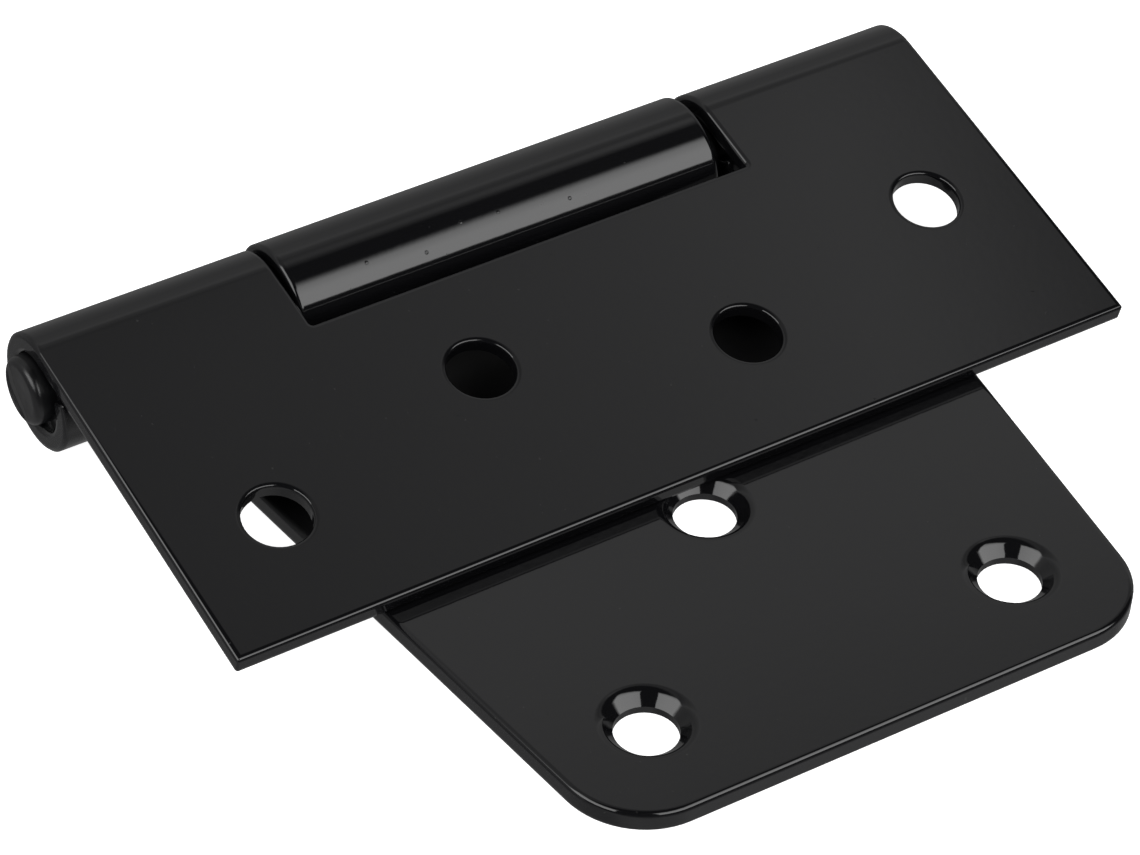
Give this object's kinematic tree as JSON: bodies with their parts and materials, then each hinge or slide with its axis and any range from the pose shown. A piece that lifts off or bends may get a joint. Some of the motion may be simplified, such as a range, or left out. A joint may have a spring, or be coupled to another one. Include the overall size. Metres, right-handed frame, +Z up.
{
  "type": "tee hinge",
  "caption": "Closed black steel tee hinge: a wide cross leaf with zigzag screw holes folded over a tapered strap leaf, both curled round the pin.",
  "frame": {"origin": "on the resting surface, under the middle of the closed hinge", "axes": "+X along the pin, +Y from the strap leaf's outer edge towards the knuckles, +Z up from the strap leaf's flat underside"},
  "size_m": [0.1028, 0.079, 0.0126],
  "materials": {
    "leaf_coat": "smooth gloss black coat over steel sheet",
    "pin_coat": "gloss black coat over a sheared steel pin"
  },
  "bodies": {
    "strap": {"strap_leaf": "leaf_coat"},
    "cross": {"cross_leaf": "leaf_coat", "pin": "pin_coat"}
  },
  "joints": [
    {"name": "leaf_swing", "type": "hinge", "parent": "strap", "child": "cross", "pos_m": [0, 0.03324, 0.0063], "axis": [-1, 0, 0], "range_deg": [0, 290]}
  ]
}
